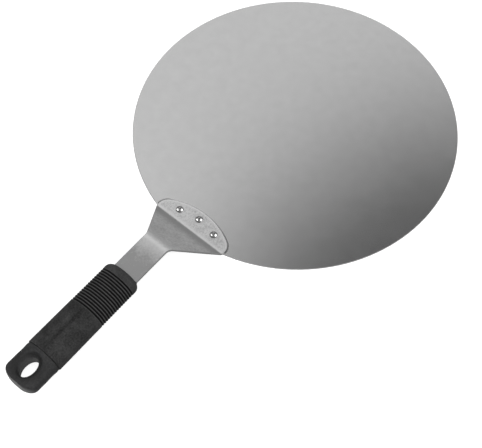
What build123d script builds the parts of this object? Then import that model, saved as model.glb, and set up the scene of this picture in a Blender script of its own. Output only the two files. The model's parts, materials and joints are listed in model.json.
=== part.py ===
from build123d import *
from math import asin, atan, copysign, cos, pi, radians, sin, sqrt, tan
import os

# A round steel pizza peel (cake lifter) with a short over-moulded handle.
#
# Frame, in millimetres: the origin is the centre of the blade's underside, +Y points away from
# the handle, so the handle runs along -Y, and +Z is up. The blade lies on the XY plane.
#
# Pieces: blade, shank (flange, riser, strap and hidden tang in one bent strip), three rivets,
# handle_core (hard plastic moulded round the tang) and grip_sleeve (soft rubber over the core).

# ---- Driving dimensions ------------------------------------------------------------------

BLADE_DIAMETER = 254.0
BLADE_THICKNESS = 1.0
RIM_ROUND = 0.3

SHEET = 1.5                    # thickness of the shank's steel
FLANGE_FRONT_RADIUS = 56.0
FLANGE_FRONT_Y = -105.7
FLANGE_HALF_WIDTH = 32.9
FLANGE_CORNER_ROUND = 9.0
RISER_FOOT_Y = -123.5          # where the flange turns up into the riser
RISER_FOOT_ROUND = 4.0         # plan rounding at the widest point of the riser
RISER_TOP_Y = -156.1           # where the riser turns into the strap
RISER_TOP_Z = 27.4
LOWER_BEND_RADIUS = 2.5        # inside radius, on the upper face
UPPER_BEND_RADIUS = 12.0       # on the upper face
STRAP_HALF_WIDTH = 11.0
WAIST_ROUND = 9.0
STRAP_SLOPE = 0.049            # fall of the strap towards the tail, mm per mm
SHANK_EDGE_ROUND = 0.5

TANG_HALF_WIDTH = 7.0
TANG_SHOULDER_Y = -197.0
TANG_SHOULDER_LENGTH = 5.0
TANG_END_Y = -263.0
TANG_END_ROUND = 3.0
TANG_HOLE_DIAMETER = 5.0
TANG_HOLE_YS = (-216.0, -246.0)

RIVET_POSITIONS = {
    "rivet_left": (-17.0, -115.3),
    "rivet_centre": (0.0, -112.4),
    "rivet_right": (17.0, -115.3),
}
RIVET_HEAD_DIAMETER = 6.0
RIVET_HEAD_HEIGHT = 2.0
RIVET_PIN_DIAMETER = 3.2
RIVET_SINK_DIAMETER = 5.2
RIVET_SINK_ANGLE = 120.0
RIVET_CLEARANCE = 0.03

NOSE_Y = -190.4                # front face of the grip, on the strap's mid plane
GRIP_NOSE_HALF_WIDTH = 14.8    # the grip widens and thickens a little towards the tail
GRIP_NOSE_HALF_HEIGHT = 10.4
GRIP_TAIL_HALF_WIDTH = 15.3
GRIP_TAIL_HALF_HEIGHT = 10.8
STEM_HALF_WIDTH = 12.7         # the core inside the sleeve
STEM_HALF_HEIGHT = 8.5
GRIP_LENGTH = 81.8             # along the handle's own axis
GRIP_NOSE_ROUND = 5.2
GRIP_NOSE_WALL = 3.0
GROOVE_COUNT = 15
GROOVE_START = 8.4             # from the nose to the middle of the first groove
GROOVE_PITCH = 2.17
GROOVE_WIDTH = 1.1
GROOVE_DEPTH = 0.75
CREASE_START = 42.0
CREASE_LENGTH = 38.0
CREASE_DEPTH = 0.9
CREASE_RADIUS = 3.5
KEY_GROOVE_STARTS = (12.0, 37.0, 62.0)
KEY_GROOVE_WIDTH = 4.0
KEY_GROOVE_DEPTH = 0.8

SHUT_OFF_GAP = 0.4             # fine groove between the sleeve and the tail
TAIL_HALF_WIDTH = 14.6         # the tail stands a little below the sleeve all round
TAIL_START_HALF_HEIGHT = 10.4
TAIL_END = 109.4               # from the nose to the end of the tail
TAIL_END_HALF_HEIGHT = 6.3
TAIL_LIFT = 0.6                # rise of the end's middle above the handle's axis
TAIL_CORNER_WIDTH = 10.8       # each end corner is a quarter ellipse in plan
TAIL_CORNER_LENGTH = 6.9
TAIL_CORNER_ANGLE = 78.0       # the ellipse stops here and leaves a small flat end
TAIL_EDGE_ROUND = 1.0
TAIL_END_POWER = 3.2           # section power: 2 is an ellipse, more is squarer
TAIL_SECTION_POINTS = 24
TAIL_BODY_STEPS = 4            # loft sections along the tail, then round its end corners
TAIL_CORNER_STEPS = 6
HANG_HOLE_CENTRE = 95.7
HANG_HOLE_LENGTH = 16.1        # an oval hole, measured at its throat
HANG_HOLE_WIDTH = 9.6
HANG_HOLE_LIFT = 0.5           # the throat's middle above the handle's axis
THROAT_HALF_HEIGHT = 3.6
THROAT_ROUND = 2.5
FLARE_HALF_HEIGHT = 12.5       # the flares are cut this far out, past both faces of the tail
FLARE_SPREAD_WIDTH = 10.4      # how much each half axis grows from the throat to there
FLARE_SPREAD_LENGTH = 4.4
FLARE_RIM_ROUND = 2.0

CUT_MARGIN = 1.0               # how far cutting tools reach past the surface they cut
TOLERANCE = 0.001              # two heights or places closer than this are the same

# ---- Worked out from them ----------------------------------------------------------------

BLADE_RADIUS = BLADE_DIAMETER / 2
FLANGE_TOP_Z = BLADE_THICKNESS + SHEET
HANDLE_TILT = atan(STRAP_SLOPE)


def strap_top_z(y):
    """Height of the strap's upper face at y, on its straight run."""
    return RISER_TOP_Z + (y - RISER_TOP_Y) * STRAP_SLOPE


NOSE_CENTRE = (0, NOSE_Y, strap_top_z(NOSE_Y) - SHEET / 2 / cos(HANDLE_TILT))
# Cross-sections of the handle: local x is X, local y is up, the normal runs to the tail.
GRIP_SECTION = Plane(
    origin=NOSE_CENTRE, x_dir=(1, 0, 0), z_dir=(0, -cos(HANDLE_TILT), -sin(HANDLE_TILT))
)
# Plan of the handle: local x is X, local y runs from the tail to the nose, the normal is up.
GRIP_PLAN = Plane(
    origin=NOSE_CENTRE, x_dir=(1, 0, 0), z_dir=(0, -sin(HANDLE_TILT), cos(HANDLE_TILT))
)


# ---- Blade -------------------------------------------------------------------------------


def make_blade():
    """A flat disc with a deburred rim and three rivet holes countersunk from below."""
    with BuildPart() as blade:
        with BuildSketch(Plane.XY):
            Circle(BLADE_RADIUS)
        extrude(amount=BLADE_THICKNESS)
        fillet(blade.edges().filter_by(GeomType.CIRCLE), RIM_ROUND)
        for x, y in RIVET_POSITIONS.values():
            with Locations(Location((x, y, 0), (180, 0, 0))):
                CounterSinkHole(
                    radius=RIVET_PIN_DIAMETER / 2,
                    counter_sink_radius=RIVET_SINK_DIAMETER / 2,
                    counter_sink_angle=RIVET_SINK_ANGLE,
                )
    return blade


# ---- Shank -------------------------------------------------------------------------------


def shank_side_profile():
    """The bent strip seen from the side, in the YZ plane."""
    tang_end_z = strap_top_z(TANG_END_Y)
    with BuildSketch(Plane.YZ) as profile:
        with BuildLine():
            FilletPolyline(
                (FLANGE_FRONT_Y + CUT_MARGIN, FLANGE_TOP_Z),
                (RISER_FOOT_Y, FLANGE_TOP_Z),
                (RISER_TOP_Y, RISER_TOP_Z),
                (TANG_END_Y, tang_end_z),
                radius=[LOWER_BEND_RADIUS, UPPER_BEND_RADIUS],
            )
            offset(amount=SHEET, side=Side.LEFT, closed=True)
        make_face()
    return profile


def shank_plan():
    """The strip's outline from above: curved flange, tapering riser, strap and tang."""
    arc_centre_y = FLANGE_FRONT_Y - FLANGE_FRONT_RADIUS
    corner_y = arc_centre_y + sqrt(FLANGE_FRONT_RADIUS**2 - FLANGE_HALF_WIDTH**2)
    shoulder_y = TANG_SHOULDER_Y - TANG_SHOULDER_LENGTH
    with BuildSketch(Plane.XY) as plan:
        with BuildLine():
            ThreePointArc(
                (-FLANGE_HALF_WIDTH, corner_y), (0, FLANGE_FRONT_Y), (FLANGE_HALF_WIDTH, corner_y)
            )
            right_side = Polyline(
                (FLANGE_HALF_WIDTH, corner_y),
                (FLANGE_HALF_WIDTH, RISER_FOOT_Y),
                (STRAP_HALF_WIDTH, RISER_TOP_Y),
                (STRAP_HALF_WIDTH, TANG_SHOULDER_Y),
                (TANG_HALF_WIDTH, shoulder_y),
                (TANG_HALF_WIDTH, TANG_END_Y),
                (0, TANG_END_Y),
            )
            mirror(right_side, about=Plane.YZ)
        make_face()
        roundings = (
            (corner_y, FLANGE_CORNER_ROUND),
            (RISER_FOOT_Y, RISER_FOOT_ROUND),
            (RISER_TOP_Y, WAIST_ROUND),
            (TANG_END_Y, TANG_END_ROUND),
        )
        for y, radius in roundings:
            corners = plan.vertices().filter_by(lambda corner: abs(corner.Y - y) < TOLERANCE)
            corners = corners.filter_by(lambda corner: abs(corner.X) > TOLERANCE)
            fillet(corners, radius)
        for y in TANG_HOLE_YS:
            with Locations((0, y)):
                Circle(TANG_HOLE_DIAMETER / 2, mode=Mode.SUBTRACT)
    return plan


def make_shank():
    """One strip of sheet steel: its side profile cut to its plan outline."""
    side = shank_side_profile()
    plan = shank_plan()
    with BuildPart() as shank:
        extrude(side.sketch, amount=FLANGE_HALF_WIDTH + CUT_MARGIN, both=True)
        extrude(plan.sketch, amount=RISER_TOP_Z + CUT_MARGIN, mode=Mode.INTERSECT)
        flange_top = shank.faces().filter_by(Plane.XY).sort_by(Axis.Z)[-1]
        fillet(flange_top.edges().filter_by(GeomType.CIRCLE)[0], SHANK_EDGE_ROUND)
        for x, y in RIVET_POSITIONS.values():
            with Locations((x, y, FLANGE_TOP_Z)):
                Hole(RIVET_PIN_DIAMETER / 2, depth=SHEET)
    return shank


# ---- Rivets ------------------------------------------------------------------------------


def make_rivet(name, x, y):
    """A dome-headed rivet set flush into the blade's countersink."""
    pin = RIVET_PIN_DIAMETER / 2 - RIVET_CLEARANCE
    sink_slope = tan(radians(RIVET_SINK_ANGLE / 2))
    sink_depth = (RIVET_SINK_DIAMETER - RIVET_PIN_DIAMETER) / 2 / sink_slope
    sink = RIVET_SINK_DIAMETER / 2 - RIVET_CLEARANCE * (1 + sink_slope)
    head = RIVET_HEAD_DIAMETER / 2
    dome_radius = (head**2 + RIVET_HEAD_HEIGHT**2) / (2 * RIVET_HEAD_HEIGHT)
    dome_top = FLANGE_TOP_Z + RIVET_HEAD_HEIGHT
    half_angle = asin(head / dome_radius) / 2
    mid_x = dome_radius * sin(half_angle)
    mid_z = dome_top - dome_radius * (1 - cos(half_angle))
    with BuildPart() as rivet:
        with BuildSketch(Plane(origin=(x, y, 0), x_dir=(1, 0, 0), z_dir=(0, -1, 0))):
            with BuildLine():
                Polyline(
                    (0, dome_top),
                    (0, RIVET_CLEARANCE),
                    (sink, RIVET_CLEARANCE),
                    (pin, sink_depth),
                    (pin, FLANGE_TOP_Z),
                    (head, FLANGE_TOP_Z),
                )
                ThreePointArc((head, FLANGE_TOP_Z), (mid_x, mid_z), (0, dome_top))
            make_face()
        revolve(axis=Axis((x, y, 0), (0, 0, 1)))
    rivet.part.label = name
    return rivet


# ---- Handle ------------------------------------------------------------------------------


def grip_half_sizes(along):
    """Half width and half height of the grip at a distance from its nose."""
    share = along / GRIP_LENGTH
    half_width = GRIP_NOSE_HALF_WIDTH + share * (GRIP_TAIL_HALF_WIDTH - GRIP_NOSE_HALF_WIDTH)
    half_height = GRIP_NOSE_HALF_HEIGHT + share * (GRIP_TAIL_HALF_HEIGHT - GRIP_NOSE_HALF_HEIGHT)
    return half_width, half_height


def ring_cut(start, width, half_width, half_height, depth):
    """Cut an elliptical ring groove into the part being built."""
    with BuildSketch(GRIP_SECTION.offset(start)) as ring:
        Ellipse(half_width + CUT_MARGIN, half_height + CUT_MARGIN)
        Ellipse(half_width - depth, half_height - depth, mode=Mode.SUBTRACT)
    extrude(ring.sketch, amount=width, mode=Mode.SUBTRACT)


def superellipse_points(half_width, half_height, middle, power):
    """Points round an ellipse-like section that gets squarer as the power rises above 2."""
    points = []
    for number in range(TAIL_SECTION_POINTS):
        angle = 2 * pi * number / TAIL_SECTION_POINTS
        x = half_width * copysign(abs(cos(angle)) ** (2 / power), cos(angle))
        y = half_height * copysign(abs(sin(angle)) ** (2 / power), sin(angle))
        points.append((x, middle + y))
    return points


def tail_sections():
    """(distance from the nose, half width, half height, middle, power) of the exposed tail."""
    start = GRIP_LENGTH + SHUT_OFF_GAP
    corner_start = TAIL_END - TAIL_CORNER_LENGTH
    body_step = (corner_start - start) / TAIL_BODY_STEPS
    stations = [(start + body_step * step, 0) for step in range(TAIL_BODY_STEPS)]
    for step in range(TAIL_CORNER_STEPS + 1):
        angle = radians(TAIL_CORNER_ANGLE) * step / TAIL_CORNER_STEPS
        stations.append((corner_start + TAIL_CORNER_LENGTH * sin(angle), 1 - cos(angle)))
    sections = []
    for along, rounding in stations:
        share = (along - start) / (TAIL_END - start)
        taper = share * (TAIL_START_HALF_HEIGHT - TAIL_END_HALF_HEIGHT)
        sections.append(
            (
                along,
                TAIL_HALF_WIDTH - TAIL_CORNER_WIDTH * rounding,
                TAIL_START_HALF_HEIGHT - taper - TAIL_EDGE_ROUND * rounding,
                TAIL_LIFT * share,
                2 + (TAIL_END_POWER - 2) * share,
            )
        )
    return sections


def hang_hole_cutter():
    """The empty space of the hang hole: an oval throat that flares towards both faces."""
    middle = GRIP_PLAN.offset(HANG_HOLE_LIFT)
    half_width = HANG_HOLE_WIDTH / 2
    half_length = HANG_HOLE_LENGTH / 2
    with BuildPart() as cutter:
        with BuildSketch(middle):
            with Locations((0, -HANG_HOLE_CENTRE)):
                Ellipse(half_width, half_length)
        extrude(amount=THROAT_HALF_HEIGHT, both=True)
        for side in (1, -1):
            with BuildSketch(middle.offset(side * THROAT_HALF_HEIGHT)):
                with Locations((0, -HANG_HOLE_CENTRE)):
                    Ellipse(half_width, half_length)
            with BuildSketch(middle.offset(side * FLARE_HALF_HEIGHT)):
                with Locations((0, -HANG_HOLE_CENTRE)):
                    Ellipse(half_width + FLARE_SPREAD_WIDTH, half_length + FLARE_SPREAD_LENGTH)
            loft(ruled=True)
    return cutter


def make_handle_core(shank):
    """The hard core moulded round the tang; its tail is exposed and holds the hang hole."""
    with BuildPart() as core:
        for along, *shape in tail_sections():
            with BuildSketch(GRIP_SECTION.offset(along)):
                with BuildLine():
                    Spline(superellipse_points(*shape), periodic=True)
                make_face()
        loft()
        outside_edges = core.edges()
        add(hang_hole_cutter().part, mode=Mode.SUBTRACT)
        tail_surface = core.faces().sort_by(SortBy.AREA)[-1]
        fillet(tail_surface.edges() - outside_edges, FLARE_RIM_ROUND)
        fillet(core.edges().filter_by(GeomType.ELLIPSE), THROAT_ROUND)
        with BuildSketch(GRIP_SECTION.offset(GRIP_NOSE_WALL)):
            Ellipse(STEM_HALF_WIDTH, STEM_HALF_HEIGHT)
        extrude(amount=GRIP_LENGTH + SHUT_OFF_GAP - GRIP_NOSE_WALL)
        for start in KEY_GROOVE_STARTS:
            ring_cut(start, KEY_GROOVE_WIDTH, STEM_HALF_WIDTH, STEM_HALF_HEIGHT, KEY_GROOVE_DEPTH)
        add(shank.part, mode=Mode.SUBTRACT)
    return core


def crease_cutter():
    """A long thin spindle lying just above the grip: it presses the crease along the top."""
    half = CREASE_LENGTH / 2
    middle = GRIP_SECTION.offset(CREASE_START + half)
    axis_height = grip_half_sizes(CREASE_START + half)[1] + CREASE_RADIUS - CREASE_DEPTH
    crease_plane = Plane(
        origin=middle.from_local_coords((0, axis_height, 0)), x_dir=middle.z_dir, z_dir=(1, 0, 0)
    )
    with BuildPart() as cutter:
        with BuildSketch(crease_plane):
            with BuildLine():
                ThreePointArc(
                    (-half, CREASE_RADIUS - CREASE_DEPTH),
                    (0, CREASE_RADIUS),
                    (half, CREASE_RADIUS - CREASE_DEPTH),
                )
                Polyline(
                    (half, CREASE_RADIUS - CREASE_DEPTH),
                    (half, 0),
                    (-half, 0),
                    (-half, CREASE_RADIUS - CREASE_DEPTH),
                )
            make_face()
        revolve(axis=Axis(crease_plane.origin, crease_plane.x_dir))
    return cutter


def make_grip_sleeve(shank, core):
    """The soft sleeve over the core: rounded nose, fifteen ring grooves and a top crease."""
    with BuildPart() as sleeve:
        for along in (0, GRIP_LENGTH):
            with BuildSketch(GRIP_SECTION.offset(along)):
                Ellipse(*grip_half_sizes(along))
        loft(ruled=True)
        fillet(sleeve.edges().sort_by(Axis.Y)[-1], GRIP_NOSE_ROUND)
        for number in range(GROOVE_COUNT):
            start = GROOVE_START + number * GROOVE_PITCH - GROOVE_WIDTH / 2
            ring_cut(start, GROOVE_WIDTH, *grip_half_sizes(start), GROOVE_DEPTH)
        add(crease_cutter().part, mode=Mode.SUBTRACT)
        add(core.part, mode=Mode.SUBTRACT)
        add(shank.part, mode=Mode.SUBTRACT)
    return sleeve


# ---- Build and write every piece ---------------------------------------------------------

blade = make_blade()
blade.part.label = "blade"

shank = make_shank()
shank.part.label = "shank"

handle_core = make_handle_core(shank)
handle_core.part.label = "handle_core"

grip_sleeve = make_grip_sleeve(shank, handle_core)
grip_sleeve.part.label = "grip_sleeve"

rivets = [make_rivet(name, x, y) for name, (x, y) in RIVET_POSITIONS.items()]

os.makedirs("parts", exist_ok=True)
for piece in (blade, shank, *rivets, handle_core, grip_sleeve):
    export_step(piece.part, f"parts/{piece.part.label}.step")
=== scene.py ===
import json
import math

import bmesh
import bpy
from mathutils import Matrix, Vector


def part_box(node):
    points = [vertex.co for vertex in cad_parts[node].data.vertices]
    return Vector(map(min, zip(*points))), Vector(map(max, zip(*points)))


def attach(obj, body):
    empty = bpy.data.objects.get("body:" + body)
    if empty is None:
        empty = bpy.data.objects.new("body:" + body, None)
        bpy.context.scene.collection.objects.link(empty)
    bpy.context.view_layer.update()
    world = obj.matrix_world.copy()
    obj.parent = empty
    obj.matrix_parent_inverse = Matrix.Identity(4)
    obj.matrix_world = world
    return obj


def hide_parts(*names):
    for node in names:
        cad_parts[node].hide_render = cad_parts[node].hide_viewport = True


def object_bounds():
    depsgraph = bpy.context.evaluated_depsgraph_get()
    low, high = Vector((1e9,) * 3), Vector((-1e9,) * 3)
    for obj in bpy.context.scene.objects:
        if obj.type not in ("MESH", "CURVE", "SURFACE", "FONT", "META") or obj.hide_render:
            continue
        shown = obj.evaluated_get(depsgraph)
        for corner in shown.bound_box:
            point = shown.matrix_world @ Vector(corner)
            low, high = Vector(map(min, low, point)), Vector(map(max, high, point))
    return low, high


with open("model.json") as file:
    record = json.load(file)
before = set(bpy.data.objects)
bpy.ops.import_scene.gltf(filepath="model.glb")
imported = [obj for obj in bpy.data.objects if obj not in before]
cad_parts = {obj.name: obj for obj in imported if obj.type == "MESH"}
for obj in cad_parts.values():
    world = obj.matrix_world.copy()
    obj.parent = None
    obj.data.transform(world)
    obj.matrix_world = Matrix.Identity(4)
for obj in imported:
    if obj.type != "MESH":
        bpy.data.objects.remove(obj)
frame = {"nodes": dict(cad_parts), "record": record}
cad_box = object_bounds()

# A round steel pizza peel with a short rubber handle, in metres, in the CAD frame: the blade lies
# on the XY plane with its centre at the origin, the handle runs along -Y, and +Z is up.

MM = 0.001
BODY = "root"
ORIGIN = Vector((0, 0, 0))
RIGHT = Vector((1, 0, 0))
FORWARD = Vector((0, 1, 0))
UP = Vector((0, 0, 1))

# ---- The handle's own line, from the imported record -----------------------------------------

HOLE_FROM_NOSE = 95.7 * MM      # the hang hole's centre, measured along the handle
HOLE_LIFT = 0.5 * MM            # and above its axis
hang_hole = next(m for m in frame["record"]["mounts"] if m["name"] == "hang_hole")
HANDLE_UP = Vector(hang_hole["axis"]).normalized()
HANDLE_TAIL = RIGHT.cross(HANDLE_UP)
NOSE = Vector(hang_hole["pos_m"]) - HANDLE_UP * HOLE_LIFT - HANDLE_TAIL * HOLE_FROM_NOSE

# ---- Places on the steel --------------------------------------------------------------------

BLADE_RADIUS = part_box("blade")[1].x
SHANK_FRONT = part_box("shank")[1].y
FLANGE_RADIUS = 56.0 * MM       # of the flange's front edge
FLANGE_CORNER_X = 23.9 * MM     # the centre of each rounded corner
FLANGE_CORNER_Y = -121.2 * MM
FLANGE_CORNER_ROUND = 9.0 * MM
FOOT_Y = -123.5 * MM            # where the flange turns up into the riser
BEND_Y = -156.1 * MM            # where the riser turns into the strap

# ---- Grip shape -----------------------------------------------------------------------------

GRIP_LENGTH = 81.8 * MM
NOSE_HALF_SIZES = (14.8 * MM, 10.4 * MM)
TAIL_HALF_SIZES = (15.3 * MM, 10.8 * MM)
NOSE_ROUND = 5.2 * MM
TAIL_ROUND = 0.5 * MM
STEM_HALF_SIZES = (12.75 * MM, 8.55 * MM)   # of the bore that the core's stem fills
STEM_START = 3.0 * MM
SLOT_HALF_SIZES = (11.15 * MM, 0.95 * MM)   # of the slot in the nose, for the strap
SLOT_POWER = 12.0
SLOT_LIP = 0.4 * MM             # how far the slot widens at the tip of the nose
GROOVE_COUNT = 15
GROOVE_START = 8.4 * MM
GROOVE_PITCH = 2.17 * MM
GROOVE_DEPTH = 1.35 * MM
GROOVE_WALL = 0.42              # share of the groove's cosine wave over which its wall falls
CREASE_START = 40.0 * MM
CREASE_LENGTH = 40.0 * MM
CREASE_DEPTH = 0.9 * MM
CREASE_HALF_WIDTH = 2.4 * MM    # over its rear half; it narrows to half of this at its front
CREASE_END_POWER = 0.7          # under 1, so that the crease deepens quickly from its ends
AROUND = 240                    # points round each ring
RINGS_PER_PITCH = 16
PLAIN_STEP = 0.9 * MM           # spacing of the rings where the grip is plain
RUN_UP_STEP = 0.6 * MM          # and just before the first groove
NOSE_TURN = 6                   # degrees of the nose's rounding between rings
TAIL_TURN = 15                  # degrees of the rear edge's


def grip_point(across, height, along):
    """A point of the handle: across is +X, height is above its axis, along runs from the nose."""
    return NOSE + RIGHT * across + HANDLE_UP * height + HANDLE_TAIL * along


def smooth_step(x):
    """0 below 0, 1 above 1, and smooth between."""
    x = min(max(x, 0.0), 1.0)
    return x * x * (3 - 2 * x)


def groove_depth(along):
    """How deep the ring grooves are at a distance from the nose."""
    phase = (along - GROOVE_START) / GROOVE_PITCH
    if not -0.5 < phase < GROOVE_COUNT - 0.5:
        return 0.0
    wave = 0.5 + 0.5 * math.cos(2 * math.pi * phase)
    return GROOVE_DEPTH * smooth_step((wave - 0.5) / GROOVE_WALL + 0.5)


def crease_depth(along, across):
    """How deep the pressed crease along the grip's top is; it fades out at both ends."""
    share = (along - CREASE_START) / CREASE_LENGTH
    if not 0 < share < 1:
        return 0.0
    half_width = CREASE_HALF_WIDTH * (0.5 + 0.5 * smooth_step(share * 2))
    depth = CREASE_DEPTH * math.sin(math.pi * share) ** CREASE_END_POWER
    return depth * math.exp(-((across / half_width) ** 2))


def end_inset(along):
    """How far the outline is drawn in by the rounding of the nose and of the rear edge."""
    if along < NOSE_ROUND:
        return NOSE_ROUND - math.sqrt(max(NOSE_ROUND**2 - (NOSE_ROUND - along) ** 2, 0))
    from_rear = GRIP_LENGTH - along
    if from_rear < TAIL_ROUND:
        return TAIL_ROUND - math.sqrt(max(TAIL_ROUND**2 - (TAIL_ROUND - from_rear) ** 2, 0))
    return 0.0


def outer_ring(along, angle):
    """A point of the grip's outer surface."""
    share = along / GRIP_LENGTH
    inset = end_inset(along) + groove_depth(along)
    half_width = NOSE_HALF_SIZES[0] + share * (TAIL_HALF_SIZES[0] - NOSE_HALF_SIZES[0]) - inset
    half_height = NOSE_HALF_SIZES[1] + share * (TAIL_HALF_SIZES[1] - NOSE_HALF_SIZES[1]) - inset
    across = half_width * math.cos(angle)
    height = half_height * math.sin(angle)
    if height > 0:
        height -= crease_depth(along, across)
    return grip_point(across, height, along)


def oval_ring(half_sizes, power, along, angle):
    """A point of an inner ring: an ellipse at power 2, a rounded rectangle at a high power."""
    cosine, sine = math.cos(angle), math.sin(angle)
    across = half_sizes[0] * math.copysign(abs(cosine) ** (2 / power), cosine)
    height = half_sizes[1] * math.copysign(abs(sine) ** (2 / power), sine)
    return grip_point(across, height, along)


def grip_stations():
    """Distances from the nose of the outer rings: close together on every curve."""
    stations = [NOSE_ROUND * (1 - math.cos(math.radians(turn))) for turn in range(1, 91, NOSE_TURN)]
    first = GROOVE_START - GROOVE_PITCH / 2
    last = first + GROOVE_COUNT * GROOVE_PITCH
    stations += [first - RUN_UP_STEP * step for step in (3, 2, 1)]
    count = GROOVE_COUNT * RINGS_PER_PITCH
    stations += [first + (last - first) * step / count for step in range(count + 1)]
    rear = GRIP_LENGTH - TAIL_ROUND
    count = round((rear - last) / PLAIN_STEP)
    stations += [last + (rear - last) * step / count for step in range(1, count + 1)]
    turns = range(TAIL_TURN, 91, TAIL_TURN)
    stations += [rear + TAIL_ROUND * math.sin(math.radians(turn)) for turn in turns]
    return sorted(stations)


def grip_rings():
    """Every ring of the sleeve's closed skin: out over the nose, back along the outside, and
    forward again inside it to the slot that the strap passes through."""
    angles = [2 * math.pi * step / AROUND for step in range(AROUND)]
    slot_lip = tuple(size + SLOT_LIP for size in SLOT_HALF_SIZES)
    rings = [[oval_ring(slot_lip, SLOT_POWER, 0, angle) for angle in angles]]
    rings += [[outer_ring(along, angle) for angle in angles] for along in grip_stations()]
    for along in (GRIP_LENGTH, (GRIP_LENGTH + STEM_START) / 2, STEM_START):
        rings.append([oval_ring(STEM_HALF_SIZES, 2, along, angle) for angle in angles])
    for along in (STEM_START, SLOT_LIP):
        rings.append([oval_ring(SLOT_HALF_SIZES, SLOT_POWER, along, angle) for angle in angles])
    return rings


def make_grip():
    """The soft rubber sleeve, with rounded grooves and a pressed crease."""
    mesh = bpy.data.meshes.new("grip_rubber")
    made = bmesh.new()
    rings = [[made.verts.new(point) for point in ring] for ring in grip_rings()]
    for ring, following in zip(rings, rings[1:] + rings[:1]):
        for step in range(AROUND):
            after = (step + 1) % AROUND
            made.faces.new((ring[step], ring[after], following[after], following[step]))
    bmesh.ops.recalc_face_normals(made, faces=made.faces)
    made.to_mesh(mesh)
    made.free()
    mesh.shade_smooth()
    grip = bpy.data.objects.new("grip_rubber", mesh)
    bpy.context.scene.collection.objects.link(grip)
    return grip


# ---- Shader building blocks -----------------------------------------------------------------
# Most of these take sockets and numbers, and return the output of a new node in the same tree.

NOISE_RANGE = (0.3, 0.7)        # nearly all of a noise's values lie between these
RANGE_INPUTS = ("From Min", "From Max", "To Min", "To Max")


def feed(target, value):
    """Gives an input its value: another node's output, or a constant."""
    if isinstance(value, bpy.types.NodeSocket):
        target.id_data.links.new(value, target)
    else:
        target.default_value = value


def make_node(beside, kind):
    """A new node in the tree of the node or socket beside it."""
    return beside.id_data.nodes.new("ShaderNode" + kind)


def object_place(beside):
    """The place on the object, in metres in the CAD frame."""
    return make_node(beside, "TexCoord").outputs["Object"]


def stretched(place, sizes, turn):
    """The place, measured in features of these sizes along axes turned about Z by turn degrees."""
    mapping = make_node(place, "Mapping")
    mapping.vector_type = "TEXTURE"
    mapping.inputs["Rotation"].default_value = (0, 0, math.radians(turn))
    mapping.inputs["Scale"].default_value = sizes
    feed(mapping.inputs["Vector"], place)
    return mapping.outputs["Vector"]


def noise(place, scale, detail=3.0, roughness=0.5):
    """Noise from 0 to 1, with scale features to the metre."""
    node = make_node(place, "TexNoise")
    node.inputs["Scale"].default_value = scale
    node.inputs["Detail"].default_value = detail
    node.inputs["Roughness"].default_value = roughness
    feed(node.inputs["Vector"], place)
    return node.outputs["Fac"]


def remap(value, low, high, to_low, to_high, smooth=False):
    """value from low to high becomes to_low to to_high, clamped."""
    node = make_node(value, "MapRange")
    node.interpolation_type = "SMOOTHSTEP" if smooth else "LINEAR"
    for name, number in zip(RANGE_INPUTS, (low, high, to_low, to_high)):
        node.inputs[name].default_value = number
    feed(node.inputs["Value"], value)
    return node.outputs["Result"]


def rise(value, start, end):
    """0 where value is at start, rising to 1 at end."""
    return remap(value, start, end, 0, 1)


def fall(value, start, end):
    """1 where value is at start, falling to 0 at end."""
    return remap(value, start, end, 1, 0)


def spread(value, low, high):
    """Noise turned into a value that ranges from low to high."""
    return remap(value, *NOISE_RANGE, low, high)


def maths(operation, first, second=None):
    """One math node; an operation on a single value has no second."""
    node = make_node(first, "Math")
    node.operation = operation
    feed(node.inputs[0], first)
    if second is not None:
        feed(node.inputs[1], second)
    return node.outputs[0]


def chain(operation, first, *others):
    """The same operation on any number of values, from left to right."""
    for other in others:
        first = maths(operation, first, other)
    return first


def add(*values):
    """The sum of the values."""
    return chain("ADD", *values)


def times(*values):
    """The product of the values."""
    return chain("MULTIPLY", *values)


def largest(*values):
    """The largest of the values."""
    return chain("MAXIMUM", *values)


def minus(first, second):
    """first less second."""
    return maths("SUBTRACT", first, second)


def hump(value, middle, half_width):
    """1 where value is at its middle, falling to 0 a half width away on both sides."""
    return fall(maths("ABSOLUTE", minus(value, middle)), 0, half_width)


def dot(vector, other):
    """The dot product of a vector socket and a direction or another vector socket."""
    node = make_node(vector, "VectorMath")
    node.operation = "DOT_PRODUCT"
    feed(node.inputs[0], vector)
    feed(node.inputs[1], other)
    return node.outputs["Value"]


def distance_along(place, origin, direction):
    """How far the place lies from origin along a direction, in metres."""
    return minus(dot(place, direction), origin.dot(direction))


def length_from(across, along, centre):
    """Distance in plan of the place (across, along) from a centre."""
    x = maths("POWER", minus(across, centre.x), 2.0)
    y = maths("POWER", minus(along, centre.y), 2.0)
    return maths("SQRT", add(x, y))


def grey(value):
    """A neutral colour."""
    return (value, value, value, 1)


def blend(share, colour, other):
    """From a colour, fixed or a socket, to another fixed colour as share goes from 0 to 1."""
    node = make_node(share, "Mix")
    node.data_type = "RGBA"
    feed(node.inputs["A"], colour)
    feed(node.inputs["B"], other)
    feed(node.inputs["Factor"], share)
    return node.outputs["Result"]


def bump(height, depth, after=None):
    """The normal of a surface raised by height, 0 to 1, times depth in metres."""
    node = make_node(height, "Bump")
    node.inputs["Distance"].default_value = depth
    feed(node.inputs["Height"], height)
    if after is not None:
        feed(node.inputs["Normal"], after)
    return node.outputs["Normal"]


def edge_wear(beside, radius, sharpness):
    """0 on flat faces, rising to 1 along the edges that a hand or a shelf rubs. A lower sharpness
    finds gentler edges."""
    rounded = make_node(beside, "Bevel")
    rounded.samples = 6
    rounded.inputs["Radius"].default_value = radius
    flat = make_node(beside, "NewGeometry")
    return rise(dot(rounded.outputs["Normal"], flat.outputs["Normal"]), 1.0, 1.0 - sharpness)


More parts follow.
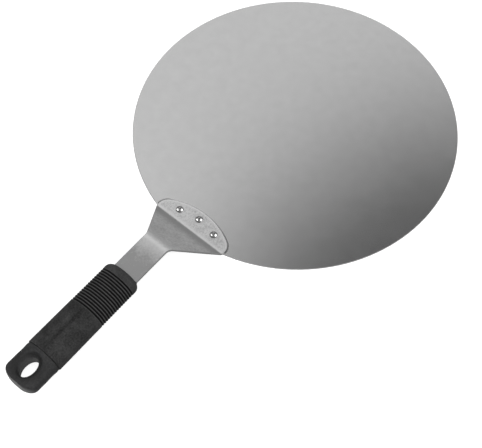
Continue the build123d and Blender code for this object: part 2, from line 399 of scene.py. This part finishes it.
def start_material(name, **constants):
    """A material with one Principled shader, whose constant sockets are set here."""
    material = bpy.data.materials.new(name)
    material.use_nodes = True
    shader = material.node_tree.nodes["Principled BSDF"]
    for socket, value in constants.items():
        shader.inputs[socket.replace("_", " ")].default_value = value
    return material, shader


def dress(shader, colour, rough, normal):
    """Connects what varies over the surface."""
    feed(shader.inputs["Base Color"], colour)
    feed(shader.inputs["Roughness"], rough)
    feed(shader.inputs["Normal"], normal)


def paint(piece, material):
    """Gives a piece one material in place of what it had."""
    piece.data.materials.clear()
    piece.data.materials.append(material)


# ---- Blade ----------------------------------------------------------------------------------

BLADE_DARK = grey(0.575)
BLADE_LIGHT = grey(0.62)
FLANGE_SHADE_GREY = grey(0.25)
RIM_OUTER = 0.2 * MM            # the bright rim, measured in from the blade's edge
RIM_INNER = 0.8 * MM
HAIR_SIZES = (30 * MM, 0.4 * MM, 30 * MM)   # of a hairline scratch
HAIR_TURN = 18                  # degrees, from +X towards +Y
CROSS_HAIR_SIZES = (40 * MM, 0.5 * MM, 30 * MM)
CROSS_HAIR_TURN = -64
FLANGE_SHADE_WHOLE = 0.3 * MM           # the painted contact shade is dark this far out from the flange
FLANGE_SHADE_GONE = 1.0 * MM
FLANGE_SHADE_RIGHT_EXTRA = 0.35 * MM    # how much wider it is at the flange's two ends,
FLANGE_SHADE_RIGHT = (5 * MM, 25 * MM)  # and the places, across, over which it widens
FLANGE_SHADE_LEFT_EXTRA = 0.9 * MM
FLANGE_SHADE_LEFT = (-31 * MM, -25 * MM)
UPPER_FACE = (0.5 * MM, 0.9 * MM)           # heights between the blade's middle and its top


def flange_distance(place):
    """Distance in plan outside the flange's front outline, less than 0 inside it: from the rounded
    corners at its two ends, and from the front arc between them."""
    corner = Vector((FLANGE_CORNER_X, FLANGE_CORNER_Y, 0))
    centre = Vector((0, SHANK_FRONT - FLANGE_RADIUS, 0))
    across = maths("ABSOLUTE", distance_along(place, ORIGIN, RIGHT))
    along = distance_along(place, ORIGIN, FORWARD)
    from_arc = minus(length_from(across, along, centre), FLANGE_RADIUS)
    from_corner = minus(length_from(across, along, corner), FLANGE_CORNER_ROUND)
    outward = corner - centre
    beside = times(across, outward.y)
    beyond = times(minus(along, centre.y), outward.x)
    in_corner = maths("GREATER_THAN", minus(beside, beyond), 0.0)
    return minus(times(from_corner, in_corner), times(from_arc, minus(in_corner, 1.0)))


def flange_painted_shade(place):
    """1 along the painted contact shade round the flange, on the blade's upper face only; it is
    widest towards the flange's two ends."""
    across = distance_along(place, ORIGIN, RIGHT)
    right_end = remap(across, *FLANGE_SHADE_RIGHT, 0, FLANGE_SHADE_RIGHT_EXTRA)
    left_end = remap(across, *FLANGE_SHADE_LEFT, FLANGE_SHADE_LEFT_EXTRA, 0)
    distance = minus(flange_distance(place), add(right_end, left_end))
    ahead = maths("GREATER_THAN", distance_along(place, ORIGIN, FORWARD), FLANGE_CORNER_Y)
    on_top = rise(distance_along(place, ORIGIN, UP), *UPPER_FACE)
    return times(fall(distance, FLANGE_SHADE_WHOLE, FLANGE_SHADE_GONE), times(on_top, ahead))


def blade_rim(place):
    """1 on the blade's deburred rim."""
    across = distance_along(place, ORIGIN, RIGHT)
    along = distance_along(place, ORIGIN, FORWARD)
    from_centre = length_from(across, along, ORIGIN)
    return rise(from_centre, BLADE_RADIUS - RIM_INNER, BLADE_RADIUS - RIM_OUTER)


def hairlines(place):
    """Long fine scratches in two directions."""
    hairs = noise(stretched(place, HAIR_SIZES, HAIR_TURN), 1, detail=2)
    cross_hairs = noise(stretched(place, CROSS_HAIR_SIZES, CROSS_HAIR_TURN), 1, detail=2)
    return largest(hairs, cross_hairs)


def blade_steel():
    """Satin sheet: faint clouds, fine grain and hairlines, a bright deburred rim, and painted
    contact shade round the flange.
    """
    material, shader = start_material("blade_steel", Metallic=1.0)
    place = object_place(shader)
    clouds = noise(place, 22, detail=4)
    smudges = noise(place, 110, detail=4, roughness=0.6)
    grain = noise(place, 2600, detail=2)
    lines = hairlines(place)
    tone = add(spread(clouds, 0.35, 0.65), remap(grain, 0.2, 0.8, -0.15, 0.15))
    tone = add(tone, spread(smudges, -0.3, 0.3), blade_rim(place))
    colour = blend(tone, BLADE_DARK, BLADE_LIGHT)
    # painted contact shade on the blade along the flange's edge
    colour = blend(flange_painted_shade(place), colour, FLANGE_SHADE_GREY)
    rough = add(spread(clouds, 0.185, 0.20), remap(lines, 0.6, 0.9, 0, 0.02))
    normal = bump(lines, 0.0003 * MM, after=bump(grain, 0.0007 * MM))
    dress(shader, colour, rough, normal)
    return material


# ---- Shank ----------------------------------------------------------------------------------

SHANK_DARK = grey(0.50)
SHANK_LIGHT = grey(0.93)
FOOT_SHADE_GREY = grey(0.43)
HIGHLIGHT_AND_WEAR_GREY = grey(0.98)
SHEARED_GREY = grey(0.52)
SMEAR_SIZES = (4 * MM, 12 * MM, 20 * MM)
SMEAR_TURN = -35
FOOT_SHADE_TOP = FOOT_Y - 12 * MM    # how far up the riser the painted shade at its foot reaches
FOOT_SHADE_FULL = FOOT_Y - 1.5 * MM
FOOT_SHADE_POWER = 2.2               # over 1, so that most of it lies close to the bend
FOOT_SHADE_SHARE = 0.95
GRIP_SHADE_START = NOSE.y + 10 * MM  # the painted shade in front of the grip is darkest up to here
GRIP_SHADE_SHARE = 0.62
FOLD_HIGHLIGHT = (FOOT_Y + 0.8 * MM, 2 * MM)     # the lower bend's painted highlight: middle, half width
FOLD_HIGHLIGHT_SHARE = 0.95               # and how bright it is
BEND_HIGHLIGHT = (BEND_Y - 3 * MM, 12 * MM)      # the upper bend's painted highlight
BEND_HIGHLIGHT_SHARE = 0.62
EDGE_HIGHLIGHT_BAND = (-1.0 * MM, 1.2 * MM)         # the painted highlight along the flange's outline


def highlights_and_worn_edges(place, along, on_flange, wear):
    """1 where the shank is painted bright: highlights at its two bends and along the flange's front
    edge, and its worn edges.
    """
    fold = times(hump(along, *FOLD_HIGHLIGHT), FOLD_HIGHLIGHT_SHARE)
    bend = times(hump(along, *BEND_HIGHLIGHT), BEND_HIGHLIGHT_SHARE)
    edge_highlight = times(hump(flange_distance(place), *EDGE_HIGHLIGHT_BAND), on_flange)
    return largest(fold, bend, edge_highlight, wear)


def riser_foot_shade(along):
    """How much painted shade lies at the foot of the riser, behind the lower bend; it fades
    upwards.
    """
    foot_shade = maths("POWER", rise(along, FOOT_SHADE_TOP, FOOT_SHADE_FULL), FOOT_SHADE_POWER)
    return times(foot_shade, remap(along, FOOT_SHADE_FULL, FOOT_Y, FOOT_SHADE_SHARE, 0))


def sheared_sides(place, on_flange):
    """1 on the cut sides of the riser and the strap."""
    normal = make_node(place, "NewGeometry").outputs["Normal"]
    sideways = maths("ABSOLUTE", dot(normal, RIGHT))
    return largest(minus(rise(sideways, 0.1, 0.4), on_flange), 0.0)


def tumbled_tone(place, mottle, on_flange):
    """The mottle of tumbled steel, with clouds, slanted smears, and speckles on the flange."""
    clouds = noise(place, 90)
    smears = noise(stretched(place, SMEAR_SIZES, SMEAR_TURN), 1)
    speckle = noise(place, 1000, detail=2, roughness=0.7)
    tone = add(spread(mottle, 0.12, 0.58), spread(clouds, 0, 0.2))
    tone = add(tone, remap(smears, 0.45, 0.7, 0, 0.15))
    return add(tone, times(spread(speckle, -0.1, 0.6), on_flange))


def shank_steel():
    """Tumbled sheet: matt and mottled, with painted highlights at its bends and along the flange's
    front edge, the flange's bright worn edges, dull sheared sides, and painted shade at the riser's
    foot and in front of the grip."""
    material, shader = start_material("shank_steel", Metallic=1.0)
    place = object_place(shader)
    along = distance_along(place, ORIGIN, FORWARD)
    mottle = noise(place, 620, roughness=0.6)
    on_flange = rise(along, FOOT_Y - 1 * MM, FOOT_Y + 1 * MM)
    wear = times(edge_wear(shader, 0.9 * MM, 0.08), on_flange)
    sheared = sheared_sides(place, on_flange)
    # painted shade at the riser's foot, behind the lower bend
    foot_shade = riser_foot_shade(along)
    # painted shade on the strap in front of the grip, joined with that at the riser's foot
    painted_shade = largest(foot_shade, remap(along, GRIP_SHADE_START, BEND_Y, GRIP_SHADE_SHARE, 0))
    tone = minus(tumbled_tone(place, mottle, on_flange), painted_shade)
    colour = blend(tone, SHANK_DARK, SHANK_LIGHT)
    colour = blend(foot_shade, colour, FOOT_SHADE_GREY)
    # painted highlights at both bends and along the flange's front edge, with the flange's worn
    # edges
    colour = blend(highlights_and_worn_edges(place, along, on_flange, wear), colour, HIGHLIGHT_AND_WEAR_GREY)
    colour = blend(sheared, colour, SHEARED_GREY)
    rough = minus(spread(mottle, 0.34, 0.42), times(wear, 0.1))
    rough = add(rough, times(sheared, 0.2))
    dress(shader, colour, rough, bump(mottle, 0.04 * MM))
    return material


# ---- Rivets ---------------------------------------------------------------------------------

RIVET_DARK = grey(0.34)
RIVET_LIGHT = grey(0.42)


def rivet_steel():
    """Polished heads with a trace of tool marks."""
    material, shader = start_material("rivet_steel", Metallic=1.0)
    marks = noise(object_place(shader), 1400, detail=2)
    colour = blend(marks, RIVET_DARK, RIVET_LIGHT)
    dress(shader, colour, spread(marks, 0.07, 0.12), bump(marks, 0.006 * MM))
    return material


# ---- Handle core ----------------------------------------------------------------------------

CORE_DARK = (0.018, 0.018, 0.0185, 1)
CORE_LIGHT = (0.031, 0.031, 0.0315, 1)
HOLE_LIP_LIGHT_GREY = grey(0.07)
HOLE_FLARE_SHADE_GREY = grey(0.012)
LIP_REACH = (10 * MM, 11.5 * MM)            # from the hole's centre, where the painted light on the lip fades
LIP_HEIGHT = (2.8 * MM, 4.8 * MM)           # and how far up and down its throat
FLARE_REACH = (11 * MM, 14 * MM)
FLARE_BAND = (6.6 * MM, 2.2 * MM)           # the painted shade's height on the flare: middle, half width
FLARE_SHARE = 0.65


def hole_shades(place):
    """Two masks round the hang hole: painted light on its throat and inner lip, and painted shade
    on the outer part of its flare."""
    hole = Vector(hang_hole["pos_m"])
    height = maths("ABSOLUTE", distance_along(place, hole, HANDLE_UP))
    across = distance_along(place, hole, RIGHT)
    along = distance_along(place, hole, HANDLE_TAIL)
    away = length_from(across, along, ORIGIN)
    lip = times(fall(away, *LIP_REACH), fall(height, *LIP_HEIGHT))
    flare = times(remap(away, *FLARE_REACH, FLARE_SHARE, 0), hump(height, *FLARE_BAND))
    return lip, flare


def core_plastic():
    """Hard moulded plastic: an eroded texture, scuffed lighter along its edges, with painted light
    on the hang hole's lip and painted shade on its flare.
    """
    material, shader = start_material("core_plastic", IOR=1.37)
    place = object_place(shader)
    texture = noise(place, 950, roughness=0.6)
    clouds = noise(place, 120)
    wear = times(edge_wear(shader, 0.8 * MM, 0.25), texture)
    tone = add(spread(clouds, 0.2, 0.7), spread(texture, -0.8, 0.8), wear)
    lip, flare = hole_shades(place)
    colour = blend(tone, CORE_DARK, CORE_LIGHT)
    # painted light on the hang hole's throat and lip
    colour = blend(lip, colour, HOLE_LIP_LIGHT_GREY)
    # painted shade on the outer part of the hole's flare
    colour = blend(flare, colour, HOLE_FLARE_SHADE_GREY)
    dress(shader, colour, spread(texture, 0.38, 0.50), bump(texture, 0.1 * MM))
    return material


# ---- Grip rubber ----------------------------------------------------------------------------

RUBBER_DARK = grey(0.003)
RUBBER_LIGHT = grey(0.041)
LAND_HIGHLIGHT_GREY = grey(0.085)         # of the painted highlight on the tops of the lands between the grooves
LAND_HIGHLIGHT_SHARE = 0.36
CREASE_SHADE_WIDTH = 1.3        # times the crease's half width
CREASE_SHADE = 0.12             # how dark the crease's painted shade is, next to a groove's
CREASE_FADE = 8 * MM            # over which it fades in and out at its ends
CREASE_END = CREASE_START + CREASE_LENGTH
NOSE_TIP = (5 * MM, 8 * MM)     # the nose is lighter up to here, along the grip,
NOSE_WEAR = 0.25                # by this much
SHADE_DEPTH = 3.0               # how much the painted shade of the grooves and crease darkens the rubber


def groove_shade(along):
    """Two masks, 0 on the plain grip: painted shade in the ring grooves, and a painted highlight on
    the tops of the lands between them.
    """
    phase = times(minus(along, GROOVE_START), 1 / GROOVE_PITCH)
    wave = maths("COSINE", times(phase, 2 * math.pi))
    grooved = maths("GREATER_THAN", phase, -0.5)
    grooved = times(grooved, maths("LESS_THAN", phase, GROOVE_COUNT - 0.5))
    grooves = times(rise(wave, -0.35, 0.35), grooved)
    lands = times(fall(wave, -1.0, -0.2), grooved)
    return grooves, lands


def crease_shade(place, along):
    """1 along the middle of the pressed crease, fading out on both sides and at its ends."""
    across = maths("ABSOLUTE", distance_along(place, NOSE, RIGHT))
    on_top = rise(distance_along(place, NOSE, HANDLE_UP), 0, 1 * MM)
    middle = fall(across, 0, CREASE_HALF_WIDTH * CREASE_SHADE_WIDTH)
    fade_in = rise(along, CREASE_START, CREASE_START + CREASE_FADE)
    fade_out = fall(along, CREASE_END - CREASE_FADE, CREASE_END)
    return times(times(middle, on_top), times(fade_in, fade_out))


def grip_rubber():
    """Soft matt rubber with a faint bloom and a fine skin, with painted shade in its grooves and
    crease and painted highlights on its lands.
    """
    material, shader = start_material("grip_rubber", IOR=1.40, Sheen_Weight=0.02)
    place = object_place(shader)
    along = distance_along(place, NOSE, HANDLE_TAIL)
    grooves, lands = groove_shade(along)
    shade = largest(grooves, times(crease_shade(place, along), CREASE_SHADE))
    skin = noise(place, 900, roughness=0.6)
    bloom = noise(place, 75, detail=4)
    tone = add(spread(bloom, 0.2, 0.8), spread(skin, -0.36, 0.36))
    tone = add(tone, remap(along, *NOSE_TIP, NOSE_WEAR, 0))
    # painted shade in the grooves and the crease
    tone = minus(tone, times(shade, SHADE_DEPTH))
    colour = blend(tone, RUBBER_DARK, RUBBER_LIGHT)
    # painted highlight on the tops of the lands
    colour = blend(times(lands, LAND_HIGHLIGHT_SHARE), colour, LAND_HIGHLIGHT_GREY)
    rough = add(spread(bloom, 0.52, 0.62), times(shade, 0.4))
    dress(shader, colour, rough, bump(skin, 0.03 * MM))
    return material


# ---- Stage, lights and camera ---------------------------------------------------------------

CAMERA_AZIMUTH = 41.408
CAMERA_ELEVATION = 59.252
CAMERA_ROLL = -0.561
CAMERA_DISTANCE = 1.0
CAMERA_LENS = 99.56
CAMERA_AIM = Vector((0.02543, -0.09379, 0))
CAMERA_NEAR = 0.05
CAMERA_FAR = 50

FLOOR_HALF = 6.0
FLOOR_GAP = 0.2 * MM            # below the blade
FLOOR_GREY = grey(0.24)         # of the floor as the peel reflects it
FLOOR_SEEN = grey(0.50)         # and as the camera sees it
FLOOR_GLOW = 0.75

TAIL_CARD_GAP = 37 * MM         # from the handle's end to the middle of the card
TAIL_CARD_SIZE = 70 * MM
TAIL_CARD_RADIANCE = 0.74
HOLE_CARD_SIZE = 30 * MM
HOLE_CARD_RADIANCE = 0.13

# The studio is made of round patches, each with its bearing and elevation, and the angles from
# its centre at which it starts to fade and is gone. All are in degrees.
SCREEN = (41, 48, 14, 27)
SCREEN_LEVEL = 1.1
WALL_LEVEL = 0.36
SOFT_WALLS = (                  # each patch, and the brightness that it adds
    ((22, 2, 12, 30), 0.26),
    ((0, 90, 4, 22), 0.40),
    ((135, 25, 25, 60), 0.30),
    ((-70, 25, 25, 60), 0.42),
    ((190, 35, 20, 50), 0.18),
)
DARK_GAP = (11.7, 66.2, 11.5, 16.8)
DARK_GAP_SHARE = 0.015          # of the light there that is left
HOT_SPOT = (52.5, 60, 1, 7)
HOT_SPOT_SHARE = 1.16           # times the light there


def heading(bearing, elevation):
    """A direction: bearing is degrees from +Y towards -X, elevation degrees above the floor."""
    b = math.radians(bearing)
    e = math.radians(elevation)
    return Vector((-math.sin(b) * math.cos(e), math.cos(b) * math.cos(e), math.sin(e)))


def make_camera():
    """The camera, high above the peel, on the handle's side and to its right."""
    back = heading(180 + CAMERA_AZIMUTH, CAMERA_ELEVATION)
    level = UP.cross(back).normalized()
    right = Matrix.Rotation(math.radians(CAMERA_ROLL), 3, back) @ level
    up = back.cross(right)
    data = bpy.data.cameras.new("camera")
    data.lens = CAMERA_LENS
    data.clip_start = CAMERA_NEAR
    data.clip_end = CAMERA_FAR
    camera = bpy.data.objects.new("camera", data)
    turn = Matrix((right, up, back)).transposed().to_4x4()
    camera.matrix_world = Matrix.Translation(CAMERA_AIM + back * CAMERA_DISTANCE) @ turn
    bpy.context.scene.collection.objects.link(camera)
    bpy.context.scene.camera = camera


def make_floor():
    """A plain white floor just under the blade."""
    mesh = bpy.data.meshes.new("floor")
    z = cad_box[0].z - FLOOR_GAP
    corners = [(x * FLOOR_HALF, y * FLOOR_HALF, z) for x, y in ((-1, -1), (1, -1), (1, 1), (-1, 1))]
    mesh.from_pydata(corners, [], [(0, 1, 2, 3)])
    floor = bpy.data.objects.new("floor", mesh)
    bpy.context.scene.collection.objects.link(floor)
    material, shader = start_material("floor_white", Roughness=0.9, Emission_Color=(1, 1, 1, 1))
    seen = make_node(shader, "LightPath").outputs["Is Camera Ray"]
    feed(shader.inputs["Base Color"], blend(seen, FLOOR_GREY, FLOOR_SEEN))
    feed(shader.inputs["Emission Strength"], times(seen, FLOOR_GLOW))
    paint(floor, material)


def make_light(name, size, radiance):
    """A square area light, which the camera doesn't see."""
    data = bpy.data.lights.new(name, "AREA")
    data.shape = "SQUARE"
    data.size = size
    data.energy = radiance * math.pi * size**2
    light = bpy.data.objects.new(name, data)
    light.visible_camera = False
    bpy.context.scene.collection.objects.link(light)
    return light


def add_softbox(name, bearing, elevation, distance, size, radiance, glossy=True, only=None):
    """A soft light aimed at the flange's front; it may light only one collection."""
    light = make_light(name, size, radiance)
    direction = heading(bearing, elevation)
    light.location = Vector((0, SHANK_FRONT, 0)) + direction * distance
    light.rotation_euler = direction.to_track_quat("Z", "Y").to_euler()
    light.visible_glossy = glossy
    light.light_linking.receiver_collection = only


def add_bounce_card(name, y, size, radiance):
    """A small glowing card on the floor, facing up, as white paper does under the real peel."""
    light = make_light(name, size, radiance)
    light.location = (0, y, cad_box[0].z)
    light.rotation_euler = (math.pi, 0, 0)


def patch(place, area, at_centre, away):
    """at_centre in the middle of a patch of the studio, away outside it, and smooth between."""
    bearing, elevation, inner, outer = area
    towards = dot(place, heading(bearing, elevation))
    outer_edge = math.cos(math.radians(outer))
    inner_edge = math.cos(math.radians(inner))
    return remap(towards, outer_edge, inner_edge, away, at_centre, smooth=True)


def studio_level(place):
    """The studio's brightness in each direction: dim walls, a large bright screen behind the peel
    with a hot spot near its edge, and a dark gap beside it."""
    walls = [patch(place, area, level, 0.0) for area, level in SOFT_WALLS]
    level = add(patch(place, SCREEN, SCREEN_LEVEL, WALL_LEVEL), *walls)
    level = times(level, patch(place, DARK_GAP, DARK_GAP_SHARE, 1.0))
    return times(level, patch(place, HOT_SPOT, HOT_SPOT_SHARE, 1.0))


def make_world():
    """The studio as the peel reflects it, and plain white for the camera."""
    world = bpy.data.worlds.new("studio")
    world.use_nodes = True
    tree = world.node_tree
    tree.nodes.clear()
    place = tree.nodes.new("ShaderNodeTexCoord").outputs["Generated"]
    studio = make_node(place, "Background")
    feed(studio.inputs["Strength"], studio_level(place))
    backdrop = make_node(place, "Background")
    backdrop.inputs["Color"].default_value = grey(1)
    mix = make_node(place, "MixShader")
    feed(mix.inputs["Fac"], make_node(place, "LightPath").outputs["Is Camera Ray"])
    feed(mix.inputs[1], studio.outputs[0])
    feed(mix.inputs[2], backdrop.outputs[0])
    output = make_node(place, "OutputWorld")
    feed(output.inputs["Surface"], mix.outputs[0])
    bpy.context.scene.world = world


# ---- Put it together ------------------------------------------------------------------------

bpy.context.scene.view_settings.view_transform = "Standard"
make_camera()
make_floor()
make_world()
tail_card_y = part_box("handle_core")[0].y - TAIL_CARD_GAP
add_bounce_card("tail_card", tail_card_y, TAIL_CARD_SIZE, TAIL_CARD_RADIANCE)
add_bounce_card("hole_card", hang_hole["pos_m"][1], HOLE_CARD_SIZE, HOLE_CARD_RADIANCE)
add_softbox("key", bearing=215, elevation=62, distance=1.6, size=1.2, radiance=5.0, glossy=False)

paint(frame["nodes"]["blade"], blade_steel())
paint(frame["nodes"]["shank"], shank_steel())
rivet_finish = rivet_steel()
rivets = bpy.data.collections.new("rivets")
for side in ("left", "centre", "right"):
    rivet = frame["nodes"]["rivet_" + side]
    paint(rivet, rivet_finish)
    rivets.objects.link(rivet)
for name, bearing in (("sparkle_left", 141), ("sparkle_right", -58)):
    add_softbox(name, bearing, elevation=25, distance=1.25, size=1.25, radiance=3.8, only=rivets)
paint(frame["nodes"]["handle_core"], core_plastic())

grip = make_grip()
paint(grip, grip_rubber())
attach(grip, BODY)
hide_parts("grip_sleeve")
